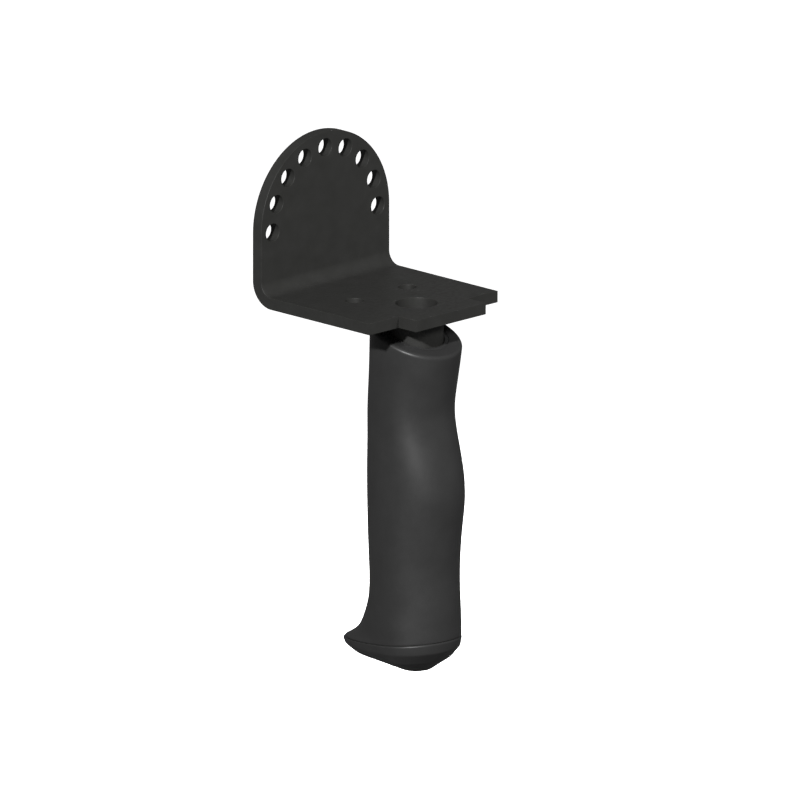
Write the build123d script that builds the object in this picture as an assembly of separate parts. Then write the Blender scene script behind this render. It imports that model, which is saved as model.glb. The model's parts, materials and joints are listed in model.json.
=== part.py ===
from build123d import *

import os
from math import asin, cos, degrees, pi, radians, sin, sqrt

# A bent plate bracket with an index arc and a swivelling hand grip hung below it.
#
# Frame: origin at the centre of the large hole, on the base plate's top face.
# +X runs across the plate, +Y towards the upright, +Z up.  All sizes in mm.

# ---------------------------------------------------------------- bracket plate
PLATE_W = 60.0              # width of the flat bar
PLATE_T = 4.0               # thickness of the flat bar
INNER_BEND_R = 4.5          # inside radius of the right-angle bend
UPRIGHT_BACK_Y = 46.6       # back face of the upright
UPRIGHT_FRONT_Y = UPRIGHT_BACK_Y - PLATE_T
ARC_CENTRE_Z = 20.6         # centre of the rounded top and of the index circle
ARC_R = PLATE_W / 2         # the upright ends in a half circle of the bar's width

WING_FRONT_Y = -8.0         # front edge of the base plate, each side of the tab
TAB_FRONT_Y = -16.1         # front edge of the tab
TAB_W = 32.7                # width of the tab

CENTRE_HOLE_R = 7.0         # spigot hole above the grip
FIXING_HOLE_R = 3.05        # clearance for M6
FIXING_SPACING = 24.6       # between the two fixing holes
FIXING_Y = 16.6             # how far behind the origin the fixing holes lie

INDEX_HOLE_R = 3.05         # clearance for M6
INDEX_CIRCLE_R = 24.6       # circle that the index holes lie on
INDEX_COUNT = 9
INDEX_STEP = 180 / (INDEX_COUNT - 1)

# ---------------------------------------------------------------- neck and swivel
NECK_R = 9.0                # round boss between the plate and the grip
NECK_END_Z = -22.0          # lower end face of the boss
POCKET_R = 6.75             # pocket for the clamp bolt's head
POCKET_FLOOR_Z = -15.0
BOLT_CLEARANCE_R = 4.3      # clearance hole for M8
WELD_LEG = 1.5

GROOVE_Z = -18.5            # stop groove round the boss
GROOVE_W = 2.8
GROOVE_DEPTH = 1.2
SWIVEL_LIMIT = 90.0         # degrees each way from rest

RUNNING_GAP = 0.04          # radial clearance of the bush on the boss
FRICTION_T = 1.0
SHOULDER_Z = NECK_END_Z - FRICTION_T
FRICTION_R = 8.6
BUSH_R = 10.5
BUSH_TOP_Z = -16.9

SEAL_R = 10.6
SEAL_GAP = 0.15             # the seal stands just clear of the boss
SEAL_T = 1.6

# ---------------------------------------------------------------- clamp bolt, M8
BOLT_R = 4.0
BOLT_HEAD_R = 6.5
BOLT_HEAD_H = 8.0
BOLT_LENGTH = 45.0
HEX_KEY_AF = 6.0
HEX_KEY_DEPTH = 4.5
LOCK_WASHER_R = 6.35
LOCK_WASHER_T = 2.0
HEAD_SEAT_Z = POCKET_FLOOR_Z + LOCK_WASHER_T

NUT_SEAT_Z = -46.0
NUT_WASHER_R = 6.4
NUT_WASHER_T = 1.2
NUT_AF = 13.0
NUT_H = 6.5
NYLON_H = 1.9
NYLON_R = 5.6
NUT_POCKET_CLEARANCE = 0.1  # across flats, so that the nut can't turn
NUT_POCKET_H = 11.0
ACCESS_BORE_R = 8.0         # takes the socket that holds the nut

STOP_SCREW_R = 2.0
STOP_DOG_R = 1.3
STOP_SCREW_OUTER_Y = 13.8
STOP_KEY_AF = 2.0
STOP_KEY_DEPTH = 2.0

# ---------------------------------------------------------------- grip
SLANT = 0.33                # rise of the grip's top face per mm towards the upright
TOP_Z = -10.15              # height of that face on the grip's axis
RIM_R = 1.2                 # rounding of the rim
SLEEVE_WALL = 2.2

# Outline of the grip at each height: reach to the front, reach to the back, half width.
GRIP_STATIONS = [
    (-4.0, 17.6, 15.9, 14.8),       # above the rim, cut off by the slanted top
    (-12.0, 16.2, 16.3, 14.7),
    (-20.0, 14.6, 16.8, 14.5),
    (-28.0, 12.9, 17.7, 14.0),
    (-37.0, 11.7, 18.6, 13.6),      # waist, where the forefinger closes
    (-46.0, 13.7, 18.4, 13.9),
    (-56.0, 16.6, 18.2, 14.4),
    (-66.0, 17.3, 17.8, 14.8),      # palm swell
    (-76.0, 15.6, 17.3, 15.0),
    (-86.0, 14.3, 16.8, 14.9),
    (-95.0, 14.2, 16.5, 14.7),
    (-103.0, 15.0, 17.9, 14.4),
    (-109.0, 15.0, 20.4, 14.7),
    (-114.0, 15.0, 24.3, 14.7),
    (-119.0, 13.6, 32.5, 15.5),     # below the crease, cut off by the base cap
]
CREASE_TILT = 0.12          # the crease round the base drops this much per mm to the back
CREASE_Z = -114.6           # height of the crease on the grip's axis
CREASE = (15.2, 30.6, 15.0)         # outline at the crease
CAP_TURN_TILT = 0.08
CAP_TURN_Z = -117.8
CAP_TURN = (14.3, 30.2, 14.5)       # outline where the cap's side turns inwards
UNDERSIDE_TILT = 0.03
UNDERSIDE_Z = -120.9
UNDERSIDE = (10.7, 27.0, 12.6)      # outline where the chamfer turns into the underside
FOOT_Z = -124.9
FOOT = (5.0, 8.0, 5.0)              # the small flat at the very bottom
OUTLINE_POINTS = 32
SIDE_BLEND = 0.3            # how gradually an outline's front half turns into its back half

# ---------------------------------------------------------------- base cap fastening
CAP_SCREW_X = 5.5
CAP_SCREW_Y = 13.0
CAP_SCREW_R = 1.5
CAP_SCREW_HEAD_R = 2.75
CAP_SCREW_HEAD_H = 3.0
CAP_SCREW_HEAD_TOP_Z = -118.6
CAP_SCREW_END_Z = -111.0
CAP_SCREW_KEY_AF = 2.5
CAP_SCREW_KEY_DEPTH = 1.5
INSERT_R = 2.2
INSERT_H = 4.6
SPIGOT_R = 7.9
SPIGOT_BORE_R = 5.9
SPIGOT_TOP_Z = -108.0


def cylinder(radius, low, high, x=0.0, y=0.0):
    """Upright cylinder between two heights."""
    return Pos(x, y, low) * Cylinder(
        radius, high - low, align=(Align.CENTER, Align.CENTER, Align.MIN)
    )


def ring(outer, inner, low, high, x=0.0, y=0.0):
    return cylinder(outer, low, high, x, y) - cylinder(inner, low - 1, high + 1, x, y)


def hexagon(across_flats, low, high, x=0.0, y=0.0):
    """Upright hexagonal prism between two heights."""
    sketch = RegularPolygon(across_flats / 2, 6, major_radius=False)
    return Pos(x, y, low) * extrude(sketch, amount=high - low)


def reach(angle, front, back):
    """How far an outline reaches from the axis, blended from front to back across the sides."""
    side = sin(angle) * sqrt((1 + SIDE_BLEND ** 2) / (sin(angle) ** 2 + SIDE_BLEND ** 2))
    return (front + back) / 2 + side * (back - front) / 2


def outline(height, front, back, half, tilt=0.0, inset=0.0):
    """Closed oval face; tilt is the drop in height per mm towards the back."""
    points = []
    for i in range(OUTLINE_POINTS):
        angle = 2 * pi * i / OUTLINE_POINTS
        y = (reach(angle, front, back) - inset) * sin(angle)
        points.append(((half - inset) * cos(angle), y, height - tilt * y))
    return Face(Wire(Edge.make_spline(points, periodic=True)))


def grip_form(inset=0.0):
    """The grip's outer form, or the same form drawn in by inset, with open ends."""
    faces = [outline(*station, inset=inset) for station in GRIP_STATIONS]
    return loft(faces)


def half_space(height, tilt, above):
    """Block that ends at a plane; tilt is the drop in height per mm towards the back."""
    size = 300.0
    align = (Align.CENTER, Align.CENTER, Align.MIN if above else Align.MAX)
    plane = Plane(origin=(0, 0, height), x_dir=(1, 0, 0), z_dir=(0, tilt, 1))
    return plane * Box(size, size, size, align=align)


# ---------------------------------------------------------------- bracket
def base_outline():
    """Base plate seen from above: wings, tab, and the strip that runs into the bend."""
    bend_start = UPRIGHT_FRONT_Y - INNER_BEND_R
    wings = Pos(0, (WING_FRONT_Y + bend_start) / 2) * Rectangle(PLATE_W, bend_start - WING_FRONT_Y)
    tab = Pos(0, (TAB_FRONT_Y + WING_FRONT_Y) / 2) * Rectangle(TAB_W, WING_FRONT_Y - TAB_FRONT_Y)
    return wings + tab


def bend():
    """Quarter ring between the base plate and the upright."""
    centre = Pos(0, UPRIGHT_FRONT_Y - INNER_BEND_R, INNER_BEND_R)
    turned = Rot(0, 90, 0)
    outer = Cylinder(INNER_BEND_R + PLATE_T, PLATE_W)
    inner = Cylinder(INNER_BEND_R, PLATE_W + 2)
    size = INNER_BEND_R + PLATE_T
    corner = Box(PLATE_W, size, size, align=(Align.CENTER, Align.MIN, Align.MAX))
    return centre * ((turned * outer - turned * inner) & corner)


def upright():
    """Upright with a half-round top, from the end of the bend upwards."""
    height = ARC_CENTRE_Z - INNER_BEND_R
    lower = Pos(0, UPRIGHT_BACK_Y, INNER_BEND_R) * Box(
        PLATE_W, PLATE_T, height, align=(Align.CENTER, Align.MAX, Align.MIN)
    )
    disc = Pos(0, UPRIGHT_BACK_Y, ARC_CENTRE_Z) * Rot(90, 0, 0) * Cylinder(
        ARC_R, PLATE_T, align=(Align.CENTER, Align.CENTER, Align.MIN)
    )
    top = disc & (Pos(0, UPRIGHT_BACK_Y, ARC_CENTRE_Z) * Box(
        PLATE_W, 2 * PLATE_T + 1, ARC_R, align=(Align.CENTER, Align.CENTER, Align.MIN)
    ))
    return lower + top


def index_hole(angle):
    x = INDEX_CIRCLE_R * cos(radians(angle))
    z = ARC_CENTRE_Z + INDEX_CIRCLE_R * sin(radians(angle))
    return Pos(x, UPRIGHT_BACK_Y, z) * Rot(90, 0, 0) * Cylinder(INDEX_HOLE_R, 4 * PLATE_T)


def bracket_plate():
    base = Pos(0, 0, -PLATE_T) * extrude(base_outline(), amount=PLATE_T)
    plate = base + bend() + upright()
    plate -= cylinder(CENTRE_HOLE_R, -2 * PLATE_T, PLATE_T)
    for side in (-1, 1):
        plate -= cylinder(FIXING_HOLE_R, -2 * PLATE_T, PLATE_T, side * FIXING_SPACING / 2, FIXING_Y)
    for i in range(INDEX_COUNT):
        plate -= index_hole(i * INDEX_STEP)
    return plate


def neck_boss():
    boss = cylinder(NECK_R, NECK_END_Z, -PLATE_T)
    boss -= cylinder(POCKET_R, POCKET_FLOOR_Z, 0)
    boss -= cylinder(BOLT_CLEARANCE_R, NECK_END_Z - 1, 0)
    return boss - stop_groove()


def stop_groove():
    """Groove round the back of the boss that the stop screw's point runs in."""
    bottom_r = NECK_R - GROOVE_DEPTH
    half_arc = SWIVEL_LIMIT + degrees(asin(STOP_DOG_R / bottom_r)) + 1
    profile = Plane.XZ * Pos((NECK_R + bottom_r + 1) / 2, GROOVE_Z) * Rectangle(
        GROOVE_DEPTH + 1, GROOVE_W
    )
    return Rot(0, 0, 90 - half_arc) * revolve(profile, Axis.Z, 2 * half_arc)


def neck_weld():
    """Fillet weld between the boss and the underside of the plate."""
    section = Polyline(
        (NECK_R, -PLATE_T), (NECK_R + WELD_LEG, -PLATE_T), (NECK_R, -PLATE_T - WELD_LEG), close=True
    )
    return revolve(Plane.XZ * make_face(section), Axis.Z)


# ---------------------------------------------------------------- swivel hardware
def clamp_bolt():
    bolt = cylinder(BOLT_HEAD_R, HEAD_SEAT_Z, HEAD_SEAT_Z + BOLT_HEAD_H)
    bolt = chamfer(bolt.edges().sort_by(Axis.Z)[-1], 0.6)
    shank = cylinder(BOLT_R, HEAD_SEAT_Z - BOLT_LENGTH, HEAD_SEAT_Z)
    shank = chamfer(shank.edges().sort_by(Axis.Z)[0], 0.8)
    head_top = HEAD_SEAT_Z + BOLT_HEAD_H
    return bolt + shank - hexagon(HEX_KEY_AF, head_top - HEX_KEY_DEPTH, head_top + 1)


def lock_washer():
    """Split spring washer under the bolt's head."""
    washer = ring(LOCK_WASHER_R, BOLT_R + 0.1, POCKET_FLOOR_Z, HEAD_SEAT_Z)
    split = Pos(LOCK_WASHER_R, 0, (POCKET_FLOOR_Z + HEAD_SEAT_Z) / 2) * Rot(25, 0, 0) * Box(8, 0.8, 6)
    return washer - split


def friction_washer():
    return ring(FRICTION_R, BOLT_R + 0.3, SHOULDER_Z, NECK_END_Z)


def swivel_bush():
    bush = ring(BUSH_R, NECK_R + RUNNING_GAP, SHOULDER_Z, BUSH_TOP_Z)
    return bush - stop_screw_space(STOP_DOG_R + 0.2)


def neck_seal():
    """Ring between the boss and the hole in the sleeve's slanted top."""
    outer = cylinder(SEAL_R, -30, 10) - cylinder(NECK_R + SEAL_GAP, -31, 11)
    top = TOP_Z - 0.3
    slab = half_space(top, -SLANT, above=False) & half_space(top - SEAL_T, -SLANT, above=True)
    return outer & slab


def nut_washer():
    return ring(NUT_WASHER_R, BOLT_R + 0.2, NUT_SEAT_Z - NUT_WASHER_T, NUT_SEAT_Z)


def lock_nut():
    top = NUT_SEAT_Z - NUT_WASHER_T
    nut = hexagon(NUT_AF, top - NUT_H, top)
    collar = cylinder(NYLON_R + 0.5, top - NUT_H - NYLON_H, top - NUT_H)
    space = cylinder(NYLON_R, top - NUT_H - NYLON_H - 1, top - NUT_H)
    return nut + (collar - space) - cylinder(BOLT_R, top - 20, top + 1)


def nylon_ring():
    top = NUT_SEAT_Z - NUT_WASHER_T - NUT_H
    return ring(NYLON_R, BOLT_R, top - NYLON_H, top)


def stop_screw_space(radius):
    """Hole along +Y at the groove's height."""
    return Pos(0, 0, GROOVE_Z) * Rot(-90, 0, 0) * Cylinder(
        radius, 60, align=(Align.CENTER, Align.CENTER, Align.MIN)
    )


def stop_screw():
    """Set screw whose point runs in the boss's groove."""
    tip_y = NECK_R - GROOVE_DEPTH + 0.1
    along_y = Rot(-90, 0, 0)
    base = (Align.CENTER, Align.CENTER, Align.MIN)
    point = Pos(0, tip_y, GROOVE_Z) * along_y * Cylinder(STOP_DOG_R, BUSH_R - tip_y, align=base)
    body = Pos(0, BUSH_R, GROOVE_Z) * along_y * Cylinder(
        STOP_SCREW_R, STOP_SCREW_OUTER_Y - BUSH_R, align=base
    )
    key = extrude(RegularPolygon(STOP_KEY_AF / 2, 6, major_radius=False), amount=STOP_KEY_DEPTH + 1)
    socket = Pos(0, STOP_SCREW_OUTER_Y - STOP_KEY_DEPTH, GROOVE_Z) * along_y * key
    return point + body - socket


# ---------------------------------------------------------------- grip
def grip_sleeve():
    """Soft outer sleeve: side wall and slanted top, open at the crease."""
    skin = grip_form() & half_space(TOP_Z, -SLANT, above=False)
    skin = fillet(skin.edges().group_by(Axis.Z)[-1], RIM_R)
    skin &= half_space(CREASE_Z, CREASE_TILT, above=True)
    return skin - core_form() - cylinder(SEAL_R, -30, 10)


def core_form():
    """Space inside the sleeve."""
    wall_on_slant = SLEEVE_WALL * sqrt(1 + SLANT ** 2)
    form = grip_form(SLEEVE_WALL) & half_space(TOP_Z - wall_on_slant, -SLANT, above=False)
    return form & half_space(CREASE_Z, CREASE_TILT, above=True)


def grip_core():
    """Rigid core that carries the bush, the nut, the stop screw and the cap's inserts."""
    core = core_form()
    core -= cylinder(BUSH_R, SHOULDER_Z, 10)
    core -= cylinder(BOLT_CLEARANCE_R, NUT_SEAT_Z - 1, 0)
    pocket_end = NUT_SEAT_Z - NUT_POCKET_H
    core -= hexagon(NUT_AF + NUT_POCKET_CLEARANCE, pocket_end - 1, NUT_SEAT_Z)
    core -= cylinder(ACCESS_BORE_R, -130, pocket_end)
    core -= stop_screw_space(STOP_SCREW_R)
    for side in (-1, 1):
        x = side * CAP_SCREW_X
        core -= cylinder(INSERT_R, -130, insert_top(), x, CAP_SCREW_Y)
        core -= cylinder(CAP_SCREW_R + 0.2, -130, CAP_SCREW_END_Z + 1, x, CAP_SCREW_Y)
    return core


def crease_height():
    """Height of the crease's plane over the cap screws."""
    return CREASE_Z - CREASE_TILT * CAP_SCREW_Y


def insert_top():
    return crease_height() + 0.6 + INSERT_H


def threaded_inserts():
    low = crease_height() + 0.6
    inserts = [
        ring(INSERT_R, CAP_SCREW_R, low, low + INSERT_H, side * CAP_SCREW_X, CAP_SCREW_Y)
        for side in (-1, 1)
    ]
    return Compound(children=inserts)


def base_cap():
    """Cap that closes the grip: side, chamfer, shallow underside, spigot into the core."""
    crease = outline(CREASE_Z, *CREASE, tilt=CREASE_TILT)
    turn = outline(CAP_TURN_Z, *CAP_TURN, tilt=CAP_TURN_TILT)
    underside = outline(UNDERSIDE_Z, *UNDERSIDE, tilt=UNDERSIDE_TILT)
    foot = outline(FOOT_Z, *FOOT)
    cap = loft([crease, turn, underside, foot], ruled=True)
    cap += ring(SPIGOT_R, SPIGOT_BORE_R, CREASE_Z - 2, SPIGOT_TOP_Z)
    for side in (-1, 1):
        x = side * CAP_SCREW_X
        cap -= cylinder(CAP_SCREW_R + 0.2, -130, -100, x, CAP_SCREW_Y)
        cap -= cylinder(CAP_SCREW_HEAD_R + 0.25, -130, CAP_SCREW_HEAD_TOP_Z, x, CAP_SCREW_Y)
    return cap


def cap_screws():
    screws = []
    head_low = CAP_SCREW_HEAD_TOP_Z - CAP_SCREW_HEAD_H
    for side in (-1, 1):
        x = side * CAP_SCREW_X
        screw = cylinder(CAP_SCREW_R, CAP_SCREW_HEAD_TOP_Z, CAP_SCREW_END_Z, x, CAP_SCREW_Y)
        screw += cylinder(CAP_SCREW_HEAD_R, head_low, CAP_SCREW_HEAD_TOP_Z, x, CAP_SCREW_Y)
        screw -= hexagon(CAP_SCREW_KEY_AF, head_low - 1, head_low + CAP_SCREW_KEY_DEPTH, x, CAP_SCREW_Y)
        screws.append(screw)
    return Compound(children=screws)


NODES = {
    "bracket_plate": bracket_plate,
    "neck_boss": neck_boss,
    "neck_weld": neck_weld,
    "clamp_bolt": clamp_bolt,
    "lock_washer": lock_washer,
    "friction_washer": friction_washer,
    "swivel_bush": swivel_bush,
    "neck_seal": neck_seal,
    "nut_washer": nut_washer,
    "lock_nut": lock_nut,
    "nylon_ring": nylon_ring,
    "stop_screw": stop_screw,
    "grip_sleeve": grip_sleeve,
    "grip_core": grip_core,
    "threaded_inserts": threaded_inserts,
    "base_cap": base_cap,
    "cap_screws": cap_screws,
}

os.makedirs("parts", exist_ok=True)
for name, make in NODES.items():
    export_step(make(), f"parts/{name}.step")
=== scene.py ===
import json
from math import cos, pi, radians, sin, sqrt, tan

import bmesh
import bpy
import numpy as np
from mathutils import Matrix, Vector

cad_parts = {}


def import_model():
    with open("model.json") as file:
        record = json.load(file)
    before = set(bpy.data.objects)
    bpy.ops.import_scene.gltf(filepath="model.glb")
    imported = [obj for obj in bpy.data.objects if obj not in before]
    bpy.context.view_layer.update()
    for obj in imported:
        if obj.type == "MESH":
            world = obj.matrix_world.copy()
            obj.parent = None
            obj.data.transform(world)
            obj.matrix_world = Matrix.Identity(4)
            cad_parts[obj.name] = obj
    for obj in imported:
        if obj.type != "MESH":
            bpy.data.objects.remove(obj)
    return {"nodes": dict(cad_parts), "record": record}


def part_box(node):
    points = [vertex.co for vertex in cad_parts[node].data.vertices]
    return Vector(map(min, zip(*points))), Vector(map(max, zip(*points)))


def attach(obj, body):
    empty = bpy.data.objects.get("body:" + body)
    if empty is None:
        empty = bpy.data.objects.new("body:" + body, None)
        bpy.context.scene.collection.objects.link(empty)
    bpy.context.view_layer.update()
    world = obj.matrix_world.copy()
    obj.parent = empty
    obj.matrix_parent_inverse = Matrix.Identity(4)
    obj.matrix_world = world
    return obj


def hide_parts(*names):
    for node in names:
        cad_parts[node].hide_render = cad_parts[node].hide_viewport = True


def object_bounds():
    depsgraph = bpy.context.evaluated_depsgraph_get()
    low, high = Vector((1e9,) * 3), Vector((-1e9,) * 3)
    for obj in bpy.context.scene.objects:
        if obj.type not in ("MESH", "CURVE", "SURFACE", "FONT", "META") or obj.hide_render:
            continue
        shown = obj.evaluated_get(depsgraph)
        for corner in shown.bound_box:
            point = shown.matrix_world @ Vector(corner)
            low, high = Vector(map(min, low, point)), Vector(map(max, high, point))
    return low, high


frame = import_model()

# Looks of the handle bracket: bent plate, neck, and swivelling grip.
# Lengths are in metres unless marked, in the part's own frame: origin at the centre of the
# large hole, +X across the plate, +Y towards the upright, +Z up.

CAD_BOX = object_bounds()
MOUNTS = {mount["name"]: mount for mount in frame["record"]["mounts"]}
MM = 0.001

# ---------------------------------------------------------------- sizes from the frame
PLATE_LOW, PLATE_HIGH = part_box("bracket_plate")
PLATE_W = PLATE_HIGH.x - PLATE_LOW.x
PLATE_T = -PLATE_LOW.z
ARC_R = PLATE_W / 2
ARC_CENTRE_Z = PLATE_HIGH.z - ARC_R
UPRIGHT_FRONT_Y = PLATE_HIGH.y - PLATE_T
TAB_FRONT_Y = PLATE_LOW.y

BOLT_LOW, BOLT_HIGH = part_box("clamp_bolt")
SCREWS_LOW, SCREWS_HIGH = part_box("cap_screws")
SEAL_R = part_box("neck_seal")[1].x
NECK_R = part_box("neck_boss")[1].x
WELD_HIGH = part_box("neck_weld")[1]
SPIGOT_TOP_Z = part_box("base_cap")[1].z

# ---------------------------------------------------------------- sizes of the plate
INNER_BEND_R = 4.5 * MM
WING_FRONT_Y = -8.0 * MM
TAB_W = 32.7 * MM
EDGE_R = 0.15 * MM              # rounding of the plate's edges
BEND_START = UPRIGHT_FRONT_Y - INNER_BEND_R
BEND_LENGTH = (INNER_BEND_R + PLATE_T / 2) * pi / 2
BEND_CUTS = 24
ARC_STEPS = 120
LARGE_HOLE_R = 5 * MM           # a hole is large from this radius
LARGE_HOLE_SIDES = 96
SMALL_HOLE_SIDES = 64

# ---------------------------------------------------------------- sizes of the grip, in mm
TOP = (-10.15, 0.33)            # slanted top: height on the axis, rise per mm to the back
CREASE = (-114.6, -0.12)        # crease round the base
SHOULDER = (-117.8, -0.08)      # where the cap's side turns inwards
UNDERSIDE = (-120.9, -0.03)     # where the chamfer turns into the underside
FOOT = (-124.9, 0.0)            # small flat at the bottom
SHOULDER_OUTLINE = (14.3, 30.2, 14.5)
UNDERSIDE_OUTLINE = (10.7, 27.0, 12.6)
FOOT_OUTLINE = (5.0, 8.0, 5.0)
CAP_PROUD = 0.25                # how far the cap stands proud of the sleeve
SEAM_GAP = 0.05                 # between the sleeve and the cap
SLEEVE_WALL = 2.2
SIDE_BLEND = 0.3                # how gently the front's reach turns into the back's
TANGENT_STEP = 2.0              # how far along the side a corner's direction is taken
# height, reach to the front, reach to the back, half width
GRIP_STATIONS = [
    (-119.0, 13.6, 32.5, 15.5),
    (-114.0, 15.0, 24.3, 14.7),
    (-109.0, 15.0, 20.4, 14.7),
    (-103.0, 15.0, 17.9, 14.4),
    (-95.0, 14.2, 16.5, 14.7),
    (-86.0, 14.3, 16.8, 14.9),
    (-76.0, 15.6, 17.3, 15.0),
    (-66.0, 17.3, 17.8, 14.8),
    (-56.0, 16.6, 18.2, 14.4),
    (-46.0, 13.7, 18.4, 13.9),
    (-37.0, 11.7, 18.6, 13.6),
    (-28.0, 12.9, 17.7, 14.0),
    (-20.0, 14.6, 16.8, 14.5),
    (-12.0, 16.2, 16.3, 14.7),
    (-4.0, 17.6, 15.9, 14.8),
]
GRIP_COLUMNS = 160
GRIP_ROWS = 150
INNER_ROWS = 30
TOP_ROWS = (0.35, 0.6)          # shares of the way from the hole to the rim
PLANE_ROUNDS = 12               # enough for a point to settle on a slanted plane

# ---------------------------------------------------------------- edges of the grip
RIM_R = 1.3 * MM                # rim of the slanted top
LIP_R = 0.15 * MM               # edge of the hole round the neck
HEM_R = 0.25 * MM               # sleeve's lower edge
CREASE_R = 0.6 * MM
SHOULDER_R = 2.0 * MM
UNDERSIDE_R = 0.8 * MM
FOOT_R = 1.5 * MM
SPIGOT_R = 7.9 * MM             # the cap's spigot goes up into the core
SPIGOT_BORE_R = 5.9 * MM
SPIGOT_DEPTH = 4.0 * MM
SPIGOT_EDGE_R = 0.3 * MM
RECESS_CLEARANCE = 0.25 * MM
RECESS_SIDES = 48
CUTTER_REACH = 10.0 * MM        # how far a cutter goes on below the cap screws

# ---------------------------------------------------------------- sizes at the neck
WELD_RIPPLES = 46
RIPPLE_DEPTH = 0.12             # as a share of the weld's leg
WELD_BELLY = 0.6                # fullness of the weld; 0.5 is a flat face
SEAL_NECK_GAP = 0.15 * MM
SEAL_SLEEVE_GAP = 0.05 * MM
SEAL_TOP = 0.1                  # in mm below the slanted top
SEAL_BOTTOM = 1.9               # likewise
SEAL_COLUMNS = 96
SEAL_LIP_R = 0.3 * MM
SEAL_EDGE_R = 0.1 * MM

# ---------------------------------------------------------------- sizes of the screws
M8 = {"shank_r": 4.0 * MM, "head_h": 8.0 * MM, "key": 6.0 * MM, "key_depth": 4.5 * MM}
M3 = {"shank_r": 1.5 * MM, "head_h": 3.0 * MM, "key": 2.5 * MM, "key_depth": 1.5 * MM}
HEX_SIDES = 6
KNURLS = 36
# shares of the head's radius
KNURL_DEPTH = 0.024
KNURL_END = 0.25
HEAD_FACE_R = 0.97
HEAD_EDGE_R = 0.08
HEAD_CHAMFER = 0.06
# shares of the key's width across its flats, and of the shank's radius
SOCKET_POINT = 0.15
SOCKET_FLOOR = 0.97
SHANK_CHAMFER = 0.2

# ---------------------------------------------------------------- precision of the meshes
MERGE_DISTANCE = 1e-7
CURVE_MERGE_DISTANCE = 1e-6
SHARP_ANGLE = radians(35)


# ---------------------------------------------------------------- mesh helpers
def mesh_of_columns(name, columns, closed):
    """Mesh with faces between neighbouring columns of points, the last column joined to the
    first.  Closed columns are loops; open ones start and end at poles that all of them share."""
    bm = bmesh.new()
    grid = [[bm.verts.new(point) for point in column] for column in columns]
    rows = len(columns[0])
    for i, column in enumerate(grid):
        after = grid[(i + 1) % len(grid)]
        for j in range(rows if closed else rows - 1):
            k = (j + 1) % rows
            bm.faces.new((column[j], after[j], after[k], column[k]))
    return object_of(name, bm)


def object_of(name, bm):
    """Object with the mesh, smooth but for its sharp edges."""
    bmesh.ops.remove_doubles(bm, verts=bm.verts, dist=MERGE_DISTANCE)
    bmesh.ops.dissolve_degenerate(bm, edges=bm.edges, dist=MERGE_DISTANCE)
    bmesh.ops.recalc_face_normals(bm, faces=bm.faces)
    mesh = bpy.data.meshes.new(name)
    bm.to_mesh(mesh)
    bm.free()
    mesh.shade_smooth()
    mesh.set_sharp_from_angle(angle=SHARP_ANGLE)
    piece = bpy.data.objects.new(name, mesh)
    bpy.context.scene.collection.objects.link(piece)
    return piece


def rounded(before, corner, after, radius, steps=6):
    """Arc that takes the place of a path's corner."""
    a = (before - corner).normalized()
    b = (after - corner).normalized()
    half = a.angle(b) / 2
    centre = corner + (a + b).normalized() * radius / sin(half)
    start = corner + a * radius / tan(half) - centre
    end = corner + b * radius / tan(half) - centre
    return [centre + start.slerp(end, i / steps) * radius for i in range(steps + 1)]


def path(corners, closed):
    """Points of a path given as (point, radius), with an arc at each corner that has a radius."""
    points = []
    count = len(corners)
    for i, (corner, radius) in enumerate(corners):
        inside = closed or 0 < i < count - 1
        if radius and inside:
            before, after = corners[i - 1][0], corners[(i + 1) % count][0]
            points += rounded(before, corner, after, radius)
        else:
            points.append(corner)
    return points


def turned(angle, radius, height):
    """Point at an angle round the Z axis."""
    return Vector((radius * cos(angle), radius * sin(angle), height))


def angles(count):
    """Equal steps round a full turn."""
    return [2 * pi * i / count for i in range(count)]


def place(piece, body, slot, material, *nodes):
    """Puts a finished piece on its body, in place of its CAD nodes."""
    piece.data.materials.clear()
    piece.data.materials.append(material)
    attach(piece, body)
    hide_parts(*nodes)
    return piece


# ---------------------------------------------------------------- grip form
def smooth_curve(knots, values):
    """Natural cubic spline through values at rising knots."""
    x, y = np.array(knots), np.array(values)
    count, h = len(x), np.diff(x)
    matrix, right = np.eye(count), np.zeros(count)
    for i in range(1, count - 1):
        matrix[i, i - 1:i + 2] = h[i - 1], 2 * (h[i - 1] + h[i]), h[i]
        right[i] = 6 * ((y[i + 1] - y[i]) / h[i] - (y[i] - y[i - 1]) / h[i - 1])
    m = np.linalg.solve(matrix, right)

    def value(at):
        i = int(np.clip(np.searchsorted(x, at) - 1, 0, count - 2))
        ahead, past = x[i + 1] - at, at - x[i]
        bend = (m[i] * ahead ** 3 + m[i + 1] * past ** 3) / (6 * h[i])
        straight = (y[i] / h[i] - m[i] * h[i] / 6) * ahead
        return bend + straight + (y[i + 1] / h[i] - m[i + 1] * h[i] / 6) * past

    return value


HEIGHTS, *SIZES = zip(*GRIP_STATIONS)
GRIP_CURVES = [smooth_curve(HEIGHTS, sizes) for sizes in SIZES]


def outline_point(angle, front, back, half, height, slope=0.0, inset=0.0):
    """Point of an oval outline, in metres; the sizes are in mm."""
    side = sin(angle) * sqrt((1 + SIDE_BLEND ** 2) / (sin(angle) ** 2 + SIDE_BLEND ** 2))
    reach = (front + back) / 2 + side * (back - front) / 2 - inset
    y = reach * sin(angle)
    return Vector(((half - inset) * cos(angle), y, height + slope * y)) * MM


def grip_point(angle, height, inset=0.0):
    front, back, half = (curve(height) for curve in GRIP_CURVES)
    return outline_point(angle, front, back, half, height, inset=inset)


def grip_point_on(angle, plane, inset=0.0):
    """Where the grip's surface meets a plane given as height on the axis and rise per mm."""
    base, slope = plane
    height = base
    for _ in range(PLANE_ROUNDS):
        height = base + slope * grip_point(angle, height, inset).y / MM
    return grip_point(angle, height, inset)


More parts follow.
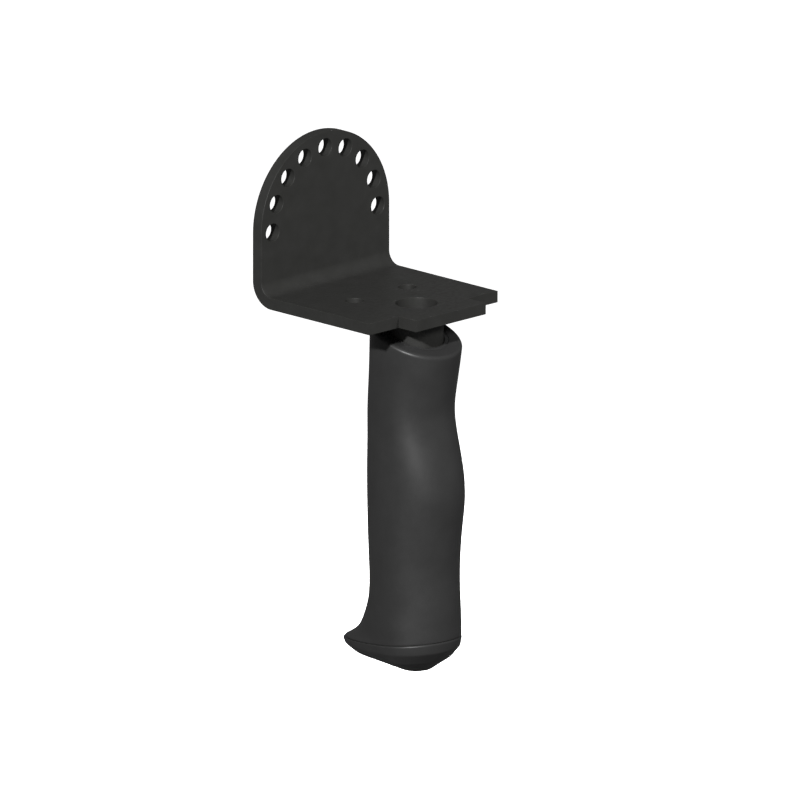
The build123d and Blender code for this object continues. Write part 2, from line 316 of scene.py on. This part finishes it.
def on_plane(angle, radius, plane):
    """Point of a plane at a radius from the grip's axis, in metres."""
    base, slope = plane
    y = radius * sin(angle)
    return Vector((radius * cos(angle), y, base * MM + slope * y))


def side_points(angle, high, low, rows, inset=0.0):
    """Points down the grip's side between two heights in metres."""
    return [
        grip_point(angle, (high + (low - high) * i / rows) / MM, inset)
        for i in range(1, rows)
    ]


def lowered(plane, drop):
    """The same plane, lower by a distance in mm measured square to it."""
    base, slope = plane
    return (base - drop * sqrt(1 + slope ** 2), slope)


def sleeve_column(angle):
    """Closed loop round the sleeve's wall: slanted top, side, crease, and back up inside."""
    inner_top = lowered(TOP, SLEEVE_WALL)
    hole_high, hole_low = on_plane(angle, SEAL_R, TOP), on_plane(angle, SEAL_R, inner_top)
    rim, hem = grip_point_on(angle, TOP), grip_point_on(angle, CREASE)
    inner_hem = grip_point_on(angle, CREASE, SLEEVE_WALL)
    inner_rim = grip_point_on(angle, inner_top, SLEEVE_WALL)
    below_rim = grip_point(angle, rim.z / MM - TANGENT_STEP)
    above_hem = grip_point(angle, hem.z / MM + TANGENT_STEP)

    points = rounded(hole_low, hole_high, rim, LIP_R, steps=3)
    points += [hole_high.lerp(rim, share) for share in TOP_ROWS]
    points += rounded(hole_high, rim, below_rim, RIM_R, steps=8)
    hem_arc = rounded(above_hem, hem, inner_hem, HEM_R, steps=4)
    points += side_points(angle, points[-1].z, hem_arc[0].z, GRIP_ROWS)
    points += hem_arc
    points.append(inner_hem)
    points += side_points(angle, inner_hem.z, inner_rim.z, INNER_ROWS, SLEEVE_WALL)
    return points + [inner_rim, hole_low]


def grip_sleeve():
    """Soft sleeve from the slanted top down to the crease."""
    columns = [sleeve_column(angle) for angle in angles(GRIP_COLUMNS)]
    piece = mesh_of_columns("sleeve", columns, closed=True)
    return place(piece, "grip", "grip_rubber", soft_rubber(), "grip_sleeve")


def cap_column(angle):
    """From the pole inside the spigot, over the crease and round the underside to the foot."""
    seam = lowered(CREASE, SEAM_GAP)
    spigot_floor_z = SPIGOT_TOP_Z - SPIGOT_DEPTH
    crease = grip_point_on(angle, seam, -CAP_PROUD)
    shoulder = outline_point(angle, *SHOULDER_OUTLINE, *SHOULDER)
    chamfer = outline_point(angle, *UNDERSIDE_OUTLINE, *UNDERSIDE)
    foot = outline_point(angle, *FOOT_OUTLINE, *FOOT)
    pole = Vector((0, 0, foot.z))
    corners = [
        (Vector((0, 0, spigot_floor_z)), 0),
        (turned(angle, SPIGOT_BORE_R, spigot_floor_z), 0),
        (turned(angle, SPIGOT_BORE_R, SPIGOT_TOP_Z), SPIGOT_EDGE_R),
        (turned(angle, SPIGOT_R, SPIGOT_TOP_Z), SPIGOT_EDGE_R),
        (on_plane(angle, SPIGOT_R, seam), 0),
        (crease, CREASE_R),
        (shoulder, SHOULDER_R),
        (chamfer, UNDERSIDE_R),
        (foot, FOOT_R),
        (pole, 0),
    ]
    return path(corners, closed=False)


def base_cap():
    """Cap that closes the grip's bottom, with a recess for each cap screw."""
    columns = [cap_column(angle) for angle in angles(GRIP_COLUMNS)]
    piece = mesh_of_columns("base_cap_shell", columns, closed=False)
    for side in (-1, 1):
        cut_recess(piece, side)
    return place(piece, "grip", "cap_plastic", moulded_plastic(), "base_cap")


def screw_centre(side):
    """Point on a cap screw's axis, at height zero."""
    low, high = SCREWS_LOW, SCREWS_HIGH
    radius = (high.y - low.y) / 2
    return Vector((side * (high.x - radius), (low.y + high.y) / 2, 0))


def cut_recess(piece, side):
    """Cuts a cap screw's counterbore out of the cap."""
    radius = (SCREWS_HIGH.y - SCREWS_LOW.y) / 2 + RECESS_CLEARANCE
    seat = SCREWS_LOW.z + M3["head_h"]
    end = SCREWS_LOW.z - CUTTER_REACH
    centre = screw_centre(side)
    columns = [
        [
            centre + Vector((0, 0, seat)),
            centre + turned(angle, radius, seat),
            centre + turned(angle, radius, end),
            centre + Vector((0, 0, end)),
        ]
        for angle in angles(RECESS_SIDES)
    ]
    cutter = mesh_of_columns(f"recess_{side}", columns, closed=False)
    modifier = piece.modifiers.new("recess", "BOOLEAN")
    modifier.operation = "DIFFERENCE"
    modifier.solver = "EXACT"
    modifier.object = cutter
    depsgraph = bpy.context.evaluated_depsgraph_get()
    mesh = bpy.data.meshes.new_from_object(piece.evaluated_get(depsgraph))
    piece.modifiers.clear()
    piece.data = mesh
    mesh.set_sharp_from_angle(angle=SHARP_ANGLE)
    bpy.data.objects.remove(cutter)


# ---------------------------------------------------------------- plate
def upright_s(z):
    """Distance along the flat pattern of a point of the upright."""
    return BEND_START + BEND_LENGTH + z - INNER_BEND_R


def plate_outline():
    """Flat pattern of the plate: x across it, y along it, zero at the origin."""
    half, tab = PLATE_W / 2, TAB_W / 2
    centre = upright_s(ARC_CENTRE_Z)
    points = [(-tab, TAB_FRONT_Y), (tab, TAB_FRONT_Y), (tab, WING_FRONT_Y), (half, WING_FRONT_Y)]
    points += [
        (ARC_R * cos(pi * i / ARC_STEPS), centre + ARC_R * sin(pi * i / ARC_STEPS))
        for i in range(ARC_STEPS + 1)
    ]
    return points + [(-half, WING_FRONT_Y), (-tab, WING_FRONT_Y)]


def plate_holes():
    """(x, distance along the flat pattern, radius) of each hole."""
    fixing = MOUNTS["fixing_holes"]
    radius = fixing["dims"]["hole_r_mm"] * MM
    holes = [(0, 0, MOUNTS["centre_bore"]["dims"]["r_mm"] * MM)]
    for side in (-1, 1):
        holes.append((side * fixing["dims"]["spacing_x_mm"] * MM / 2, fixing["pos_m"][1], radius))
    for name, mount in MOUNTS.items():
        if name.startswith("index_pair"):
            for side in (-1, 1):
                x = side * mount["dims"]["spacing_x_mm"] * MM / 2
                holes.append((x, upright_s(mount["pos_m"][2]), mount["dims"]["hole_r_mm"] * MM))
    top = MOUNTS["index_top_hole"]
    holes.append((0, upright_s(top["pos_m"][2]), top["dims"]["r_mm"] * MM))
    return holes


def add_spline(curve, points):
    """Adds a closed outline to a flat curve."""
    spline = curve.splines.new("POLY")
    spline.points.add(len(points) - 1)
    for point, (x, y) in zip(spline.points, points):
        point.co = (x, y, 0, 1)
    spline.use_cyclic_u = True


def flat_plate():
    """The plate before bending, with rounded edges, from a filled 2D curve."""
    curve = bpy.data.curves.new("flat_plate", "CURVE")
    curve.dimensions = "2D"
    curve.fill_mode = "BOTH"
    curve.extrude = PLATE_T / 2 - EDGE_R
    curve.bevel_depth = EDGE_R
    curve.bevel_resolution = 2
    curve.offset = -EDGE_R
    add_spline(curve, plate_outline())
    for x, s, radius in plate_holes():
        count = LARGE_HOLE_SIDES if radius > LARGE_HOLE_R else SMALL_HOLE_SIDES
        add_spline(curve, [(x + radius * cos(a), s - radius * sin(a)) for a in angles(count)])
    flat = bpy.data.objects.new("flat_plate", curve)
    bpy.context.scene.collection.objects.link(flat)
    bpy.context.view_layer.update()
    depsgraph = bpy.context.evaluated_depsgraph_get()
    mesh = bpy.data.meshes.new_from_object(flat.evaluated_get(depsgraph))
    bpy.data.objects.remove(flat)
    return mesh


def bent(point):
    """Where a point of the flat pattern lies once the upright is bent up."""
    x, s, h = point.x, point.y, point.z - PLATE_T / 2
    if s <= BEND_START:
        return Vector((x, s, h))
    angle = min((s - BEND_START) / BEND_LENGTH, 1) * pi / 2
    radius = INNER_BEND_R - h
    past = max(s - BEND_START - BEND_LENGTH, 0)
    y = BEND_START + radius * sin(angle)
    return Vector((x, y, INNER_BEND_R - radius * cos(angle) + past))


def bracket_plate():
    """The bent plate, cut across the bend so that it curves smoothly."""
    bm = bmesh.new()
    bm.from_mesh(flat_plate())
    bmesh.ops.remove_doubles(bm, verts=bm.verts, dist=CURVE_MERGE_DISTANCE)
    for i in range(BEND_CUTS + 1):
        s = BEND_START + BEND_LENGTH * i / BEND_CUTS
        bmesh.ops.bisect_plane(
            bm, geom=bm.verts[:] + bm.edges[:] + bm.faces[:], dist=MERGE_DISTANCE,
            plane_co=(0, s, 0), plane_no=(0, 1, 0),
        )
    for vert in bm.verts:
        vert.co = bent(vert.co)
    piece = object_of("plate", bm)
    weighted = piece.modifiers.new("weighted_normals", "WEIGHTED_NORMAL")
    weighted.keep_sharp = True
    return place(piece, "bracket", "black_steel", powder_coat(), "bracket_plate")


# ---------------------------------------------------------------- neck and fasteners
def neck_weld():
    """Fillet weld with the ripples that welding leaves."""
    leg, high = WELD_HIGH.x - NECK_R, WELD_HIGH.z
    columns = []
    for angle in angles(WELD_RIPPLES * 6):
        size = leg * (1 - RIPPLE_DEPTH * abs(sin(angle * WELD_RIPPLES / 2)))
        foot = turned(angle, NECK_R, high - size)
        toe = turned(angle, NECK_R + size, high)
        belly = turned(angle, NECK_R + size * WELD_BELLY, high - size * WELD_BELLY)
        columns.append([turned(angle, NECK_R, high), foot, belly, toe])
    piece = mesh_of_columns("weld_bead", columns, closed=True)
    return place(piece, "bracket", "black_steel", powder_coat(), "neck_weld")


def neck_seal():
    """Rubber ring with a rounded lip, just below the slanted top."""
    inner_r = NECK_R + SEAL_NECK_GAP
    outer_r = SEAL_R - SEAL_SLEEVE_GAP
    high, low = lowered(TOP, SEAL_TOP), lowered(TOP, SEAL_BOTTOM)
    columns = []
    for angle in angles(SEAL_COLUMNS):
        corners = [
            (on_plane(angle, inner_r, high), SEAL_LIP_R),
            (on_plane(angle, outer_r, high), SEAL_EDGE_R),
            (on_plane(angle, outer_r, low), SEAL_EDGE_R),
            (on_plane(angle, inner_r, low), SEAL_EDGE_R),
        ]
        columns.append(path(corners, closed=True))
    piece = mesh_of_columns("seal_ring", columns, closed=True)
    return place(piece, "grip", "seal_rubber", dull_rubber(), "neck_seal")


def hex_radius(angle, across_flats):
    """Distance from a hexagon's centre to its side, in the direction of an angle."""
    sector = 2 * pi / HEX_SIDES
    return across_flats / 2 / cos((angle % sector) - sector / 2)


def socket_screw(name, centre, shank_end, head_end, head_r, shank_r, head_h, key, key_depth):
    """Cap screw with a knurled head; head_end and shank_end say which way it points."""
    up = 1 if head_end > shank_end else -1
    seat = head_end - up * head_h
    floor = head_end - up * key_depth
    face_r, edge = head_r * HEAD_FACE_R, head_r * HEAD_CHAMFER
    columns = []
    for angle in angles(KNURLS * 4):
        knurl = head_r * (1 - KNURL_DEPTH / 2 * (1 + cos(angle * KNURLS)))
        hexagon = hex_radius(angle, key)
        corners = [
            (Vector((0, 0, floor - up * key * SOCKET_POINT)), 0),
            (turned(angle, hexagon * SOCKET_FLOOR, floor), 0),
            (turned(angle, hexagon, head_end - up * edge), 0),
            (turned(angle, hexagon + edge, head_end), 0),
            (turned(angle, face_r, head_end), head_r * HEAD_EDGE_R),
            (turned(angle, knurl, head_end - up * head_r * KNURL_END), 0),
            (turned(angle, knurl, seat + up * edge), 0),
            (turned(angle, face_r, seat), 0),
            (turned(angle, shank_r, seat), 0),
            (turned(angle, shank_r, shank_end + up * shank_r * SHANK_CHAMFER), 0),
            (turned(angle, shank_r * (1 - SHANK_CHAMFER), shank_end), 0),
            (Vector((0, 0, shank_end)), 0),
        ]
        columns.append([centre + point for point in path(corners, closed=False)])
    return mesh_of_columns(name, columns, closed=False)


def clamp_bolt():
    """M8 cap screw let into the neck; its head is seen down the large hole."""
    head_r = (BOLT_HIGH.x - BOLT_LOW.x) / 2
    piece = socket_screw("bolt", Vector(), BOLT_LOW.z, BOLT_HIGH.z, head_r, **M8)
    return place(piece, "grip", "black_fastener", black_oxide(), "clamp_bolt")


def cap_screws():
    """The two M3 cap screws in the underside."""
    low, high = SCREWS_LOW.z, SCREWS_HIGH.z
    head_r = (SCREWS_HIGH.y - SCREWS_LOW.y) / 2
    bm = bmesh.new()
    for side in (-1, 1):
        screw = socket_screw(f"cap_screw_{side}", screw_centre(side), high, low, head_r, **M3)
        bm.from_mesh(screw.data)
        bpy.data.objects.remove(screw)
    piece = object_of("cap_screw_pair", bm)
    return place(piece, "grip", "black_fastener", black_oxide(), "cap_screws")


# ---------------------------------------------------------------- materials
class Nodes:
    """A material's node tree, with a short way to add and link its nodes."""

    def __init__(self, name):
        self.material = bpy.data.materials.new(name)
        self.material.use_nodes = True
        self.tree = self.material.node_tree
        self.shader = self.tree.nodes["Principled BSDF"]
        self.place = self.tree.nodes.new("ShaderNodeTexCoord").outputs["Object"]

    def add(self, kind, **inputs):
        """New node, with values for its inputs."""
        node = self.tree.nodes.new(kind)
        for key, value in inputs.items():
            node.inputs[key.replace("_", " ").title()].default_value = value
        return node

    def set(self, socket, value):
        """Sets one of the shader's own sockets."""
        self.shader.inputs[socket].default_value = value

    def link(self, output, target):
        self.tree.links.new(output, target)

    def noise(self, size, detail=3.0, roughness=0.5):
        """Noise whose features are about size metres across."""
        node = self.add("ShaderNodeTexNoise", scale=1 / size, detail=detail, roughness=roughness)
        self.link(self.place, node.inputs["Vector"])
        return node.outputs["Fac"]

    def cells(self, size):
        """Distance to the nearest of scattered points about size metres apart."""
        node = self.add("ShaderNodeTexVoronoi", scale=1 / size)
        self.link(self.place, node.inputs["Vector"])
        return node.outputs["Distance"]

    def colour(self, source, dark, light, low=0.3, high=0.7):
        """Base colour that runs between two colours."""
        ramp = self.tree.nodes.new("ShaderNodeValToRGB")
        ramp.color_ramp.elements[0].position = low
        ramp.color_ramp.elements[0].color = (*dark, 1)
        ramp.color_ramp.elements[1].position = high
        ramp.color_ramp.elements[1].color = (*light, 1)
        self.link(source, ramp.inputs["Fac"])
        self.link(ramp.outputs["Color"], self.shader.inputs["Base Color"])

    def roughness(self, source, low, high):
        """Roughness that runs between two values."""
        spread = self.add("ShaderNodeMapRange", to_min=low, to_max=high, from_min=0.3, from_max=0.7)
        self.link(source, spread.inputs["Value"])
        self.link(spread.outputs["Result"], self.shader.inputs["Roughness"])

    def bump(self, *layers):
        """Relief from (source, height in metres) layers, one on top of the other."""
        normal = None
        for source, height in layers:
            node = self.add("ShaderNodeBump", distance=height)
            self.link(source, node.inputs["Height"])
            if normal:
                self.link(normal, node.inputs["Normal"])
            normal = node.outputs["Normal"]
        self.link(normal, self.shader.inputs["Normal"])


def powder_coat():
    """Satin black powder coat with a fine orange-peel surface."""
    nodes = Nodes("powder_coat")
    nodes.set("Specular IOR Level", 0.3)
    nodes.colour(nodes.noise(6 * MM, 4), (0.0185, 0.0185, 0.0175), (0.022, 0.022, 0.021))
    nodes.roughness(nodes.noise(1.5 * MM), 0.46, 0.56)
    nodes.bump((nodes.noise(0.9 * MM, 2), 0.012 * MM), (nodes.noise(0.2 * MM, 2), 0.003 * MM))
    return nodes.material


def soft_rubber():
    """Soft-touch rubber with a very fine moulded grain."""
    nodes = Nodes("soft_rubber")
    nodes.set("Specular IOR Level", 0.35)
    nodes.colour(nodes.noise(9 * MM, 5), (0.022, 0.022, 0.022), (0.026, 0.026, 0.026))
    nodes.roughness(nodes.noise(2 * MM), 0.39, 0.45)
    nodes.bump((nodes.noise(3 * MM, 3), 0.01 * MM), (nodes.cells(0.35 * MM), 0.006 * MM))
    return nodes.material


def moulded_plastic():
    """Black moulded plastic with a spark-eroded texture."""
    nodes = Nodes("moulded_plastic")
    nodes.set("Specular IOR Level", 0.35)
    nodes.colour(nodes.noise(7 * MM, 4), (0.022, 0.022, 0.022), (0.026, 0.026, 0.026))
    nodes.roughness(nodes.noise(1.5 * MM), 0.4, 0.46)
    nodes.bump((nodes.cells(0.3 * MM), 0.007 * MM))
    return nodes.material


def dull_rubber():
    """Rubber with no shine, for the seal."""
    nodes = Nodes("dull_rubber")
    nodes.set("Specular IOR Level", 0.25)
    nodes.colour(nodes.noise(3 * MM, 4), (0.020, 0.020, 0.020), (0.026, 0.026, 0.026))
    nodes.roughness(nodes.noise(1 * MM), 0.6, 0.75)
    nodes.bump((nodes.noise(0.4 * MM, 3), 0.01 * MM))
    return nodes.material


def black_oxide():
    """Blackened steel, faintly blotched by oil."""
    nodes = Nodes("black_oxide")
    nodes.set("Metallic", 0.8)
    nodes.colour(nodes.noise(1.6 * MM, 5), (0.05, 0.05, 0.055), (0.11, 0.105, 0.10))
    nodes.roughness(nodes.noise(0.8 * MM), 0.3, 0.45)
    nodes.bump((nodes.noise(0.15 * MM, 2), 0.003 * MM))
    return nodes.material


def zinc():
    """Bright zinc plate with a fine grain."""
    nodes = Nodes("zinc")
    nodes.set("Metallic", 1.0)
    nodes.colour(nodes.noise(1.2 * MM, 4), (0.5, 0.51, 0.53), (0.68, 0.68, 0.66))
    nodes.roughness(nodes.noise(0.4 * MM), 0.25, 0.4)
    nodes.bump((nodes.noise(0.12 * MM, 2), 0.004 * MM))
    return nodes.material


def brass():
    """Bare brass with a coarse grain."""
    nodes = Nodes("brass")
    nodes.set("Metallic", 1.0)
    nodes.colour(nodes.noise(0.8 * MM, 4), (0.55, 0.38, 0.13), (0.78, 0.58, 0.25))
    nodes.roughness(nodes.noise(0.4 * MM), 0.25, 0.4)
    nodes.bump((nodes.cells(0.4 * MM), 0.02 * MM))
    return nodes.material


def acetal():
    """White acetal, slightly translucent."""
    nodes = Nodes("acetal")
    nodes.set("Subsurface Weight", 0.15)
    nodes.set("Subsurface Scale", 1 * MM)
    nodes.colour(nodes.noise(4 * MM, 3), (0.68, 0.67, 0.62), (0.77, 0.76, 0.72))
    nodes.roughness(nodes.noise(1 * MM), 0.35, 0.45)
    nodes.bump((nodes.noise(0.3 * MM, 2), 0.004 * MM))
    return nodes.material


def friction_material():
    """Pressed brown fibre with paler flecks."""
    nodes = Nodes("friction_material")
    nodes.colour(nodes.cells(0.5 * MM), (0.26, 0.17, 0.10), (0.12, 0.09, 0.07), 0.1, 0.6)
    nodes.roughness(nodes.noise(0.5 * MM), 0.7, 0.85)
    nodes.bump((nodes.noise(0.3 * MM, 5), 0.03 * MM))
    return nodes.material


def filled_nylon():
    """Glass-filled nylon, faintly mottled."""
    nodes = Nodes("filled_nylon")
    nodes.colour(nodes.noise(5 * MM, 6, 0.7), (0.045, 0.045, 0.045), (0.075, 0.075, 0.075))
    nodes.roughness(nodes.noise(1 * MM), 0.5, 0.65)
    nodes.bump((nodes.noise(0.25 * MM, 3), 0.01 * MM))
    return nodes.material


def dress_kept_nodes():
    """Gives each CAD node that stays its material."""
    black, plastic, bright = black_oxide(), acetal(), zinc()
    finishes = {
        "neck_boss": powder_coat(),
        "lock_washer": black,
        "stop_screw": black,
        "friction_washer": friction_material(),
        "swivel_bush": plastic,
        "nylon_ring": plastic,
        "nut_washer": bright,
        "lock_nut": bright,
        "grip_core": filled_nylon(),
        "threaded_inserts": brass(),
    }
    for name, material in finishes.items():
        mesh = frame["nodes"][name].data
        mesh.materials.clear()
        mesh.materials.append(material)


# ---------------------------------------------------------------- studio
VIEW_AZIMUTH = -45.0
VIEW_ELEVATION = 15.0
VIEW_WIDTH = 264.55 * MM
VIEW_SHIFT_RIGHT = 4.9 * MM     # how far the view's centre lies from the part's
VIEW_SHIFT_UP = 1.1 * MM
CAMERA_DISTANCE = 500 * MM      # near enough to stay above the floor in views from below
CAMERA_CLIP = (0.01, 10.0)
FLOOR_DROP = 600 * MM           # the part is held, not stood, so the floor is well below it
FLOOR_SIZE = 6.0
FLOOR_GLOW = 0.9
AMBIENT = 0.1
LAMP_DISTANCE = 2.5
# degrees to the right of the view, elevation, size, strength, seen in gloss
LAMPS = {
    "key": (-19, 30, 0.12, 1.42, True),
    "fill": (56, 32, 0.5, 0.8, False),
    "bounce": (0, 5, 1.0, 0.12, False),
    "back": (180, 6, 1.0, 1.1, False),
}


def towards(azimuth, elevation):
    """Unit vector from the part; azimuth 0 is straight in front of it, 90 to its right."""
    a, e = radians(azimuth), radians(elevation)
    return Vector((sin(a) * cos(e), -cos(a) * cos(e), sin(e)))


def camera(centre):
    """Camera without perspective, aimed from the view's angle."""
    data = bpy.data.cameras.new("camera")
    data.type = "ORTHO"
    data.ortho_scale = VIEW_WIDTH
    eye = bpy.data.objects.new("camera", data)
    bpy.context.scene.collection.objects.link(eye)
    back = towards(VIEW_AZIMUTH, VIEW_ELEVATION)
    eye.rotation_mode = "QUATERNION"
    eye.rotation_quaternion = (-back).to_track_quat("-Z", "Y")
    right = eye.rotation_quaternion @ Vector((1, 0, 0))
    up = eye.rotation_quaternion @ Vector((0, 1, 0))
    eye.location = (
        centre + right * VIEW_SHIFT_RIGHT + up * VIEW_SHIFT_UP + back * CAMERA_DISTANCE
    )
    data.clip_start, data.clip_end = CAMERA_CLIP
    bpy.context.scene.camera = eye


def lamp(name, centre, right_of_view, elevation, size, strength, in_gloss):
    """Round area light aimed at the part.  Its strength is the light it throws on a white
    surface that faces it, where 1 makes that surface white."""
    data = bpy.data.lights.new(name, "AREA")
    data.shape = "DISK"
    data.size = size
    data.energy = strength * (pi * LAMP_DISTANCE) ** 2
    light = bpy.data.objects.new(name, data)
    bpy.context.scene.collection.objects.link(light)
    back = towards(VIEW_AZIMUTH + right_of_view, elevation)
    light.location = centre + back * LAMP_DISTANCE
    light.rotation_mode = "QUATERNION"
    light.rotation_quaternion = back.to_track_quat("Z", "Y")
    light.visible_glossy = in_gloss


def floor(low):
    """Pale floor that glows a little, and throws no light back up at the part."""
    bm = bmesh.new()
    bmesh.ops.create_grid(bm, x_segments=1, y_segments=1, size=FLOOR_SIZE)
    piece = object_of("floor", bm)
    piece.location.z = low.z - FLOOR_DROP
    piece.visible_diffuse = False
    piece.visible_glossy = False
    nodes = Nodes("pale_floor")
    nodes.set("Emission Color", (1, 1, 1, 1))
    nodes.set("Emission Strength", FLOOR_GLOW)
    nodes.colour(nodes.noise(0.4, 2), (0.9, 0.9, 0.9), (0.93, 0.93, 0.93))
    nodes.roughness(nodes.noise(0.1, 2), 0.8, 0.9)
    piece.data.materials.append(nodes.material)


def world():
    """White to look at, and a dim even light on the part."""
    scene = bpy.context.scene
    scene.world = bpy.data.worlds.new("studio")
    scene.world.use_nodes = True
    tree = scene.world.node_tree
    dim = tree.nodes["Background"]
    dim.inputs["Color"].default_value = (1, 1, 1, 1)
    dim.inputs["Strength"].default_value = AMBIENT
    white = tree.nodes.new("ShaderNodeBackground")
    white.inputs["Color"].default_value = (1, 1, 1, 1)
    mix = tree.nodes.new("ShaderNodeMixShader")
    tree.links.new(tree.nodes.new("ShaderNodeLightPath").outputs["Is Camera Ray"], mix.inputs[0])
    tree.links.new(dim.outputs[0], mix.inputs[1])
    tree.links.new(white.outputs[0], mix.inputs[2])
    tree.links.new(mix.outputs[0], tree.nodes["World Output"].inputs["Surface"])


def studio():
    """Camera, floor, surroundings and lamps."""
    low, high = CAD_BOX
    centre = (low + high) / 2
    camera(centre)
    floor(low)
    world()
    for name, settings in LAMPS.items():
        lamp(name, centre, *settings)
    bpy.context.scene.view_settings.view_transform = "Standard"


bracket_plate()
neck_weld()
clamp_bolt()
neck_seal()
grip_sleeve()
base_cap()
cap_screws()
dress_kept_nodes()
studio()
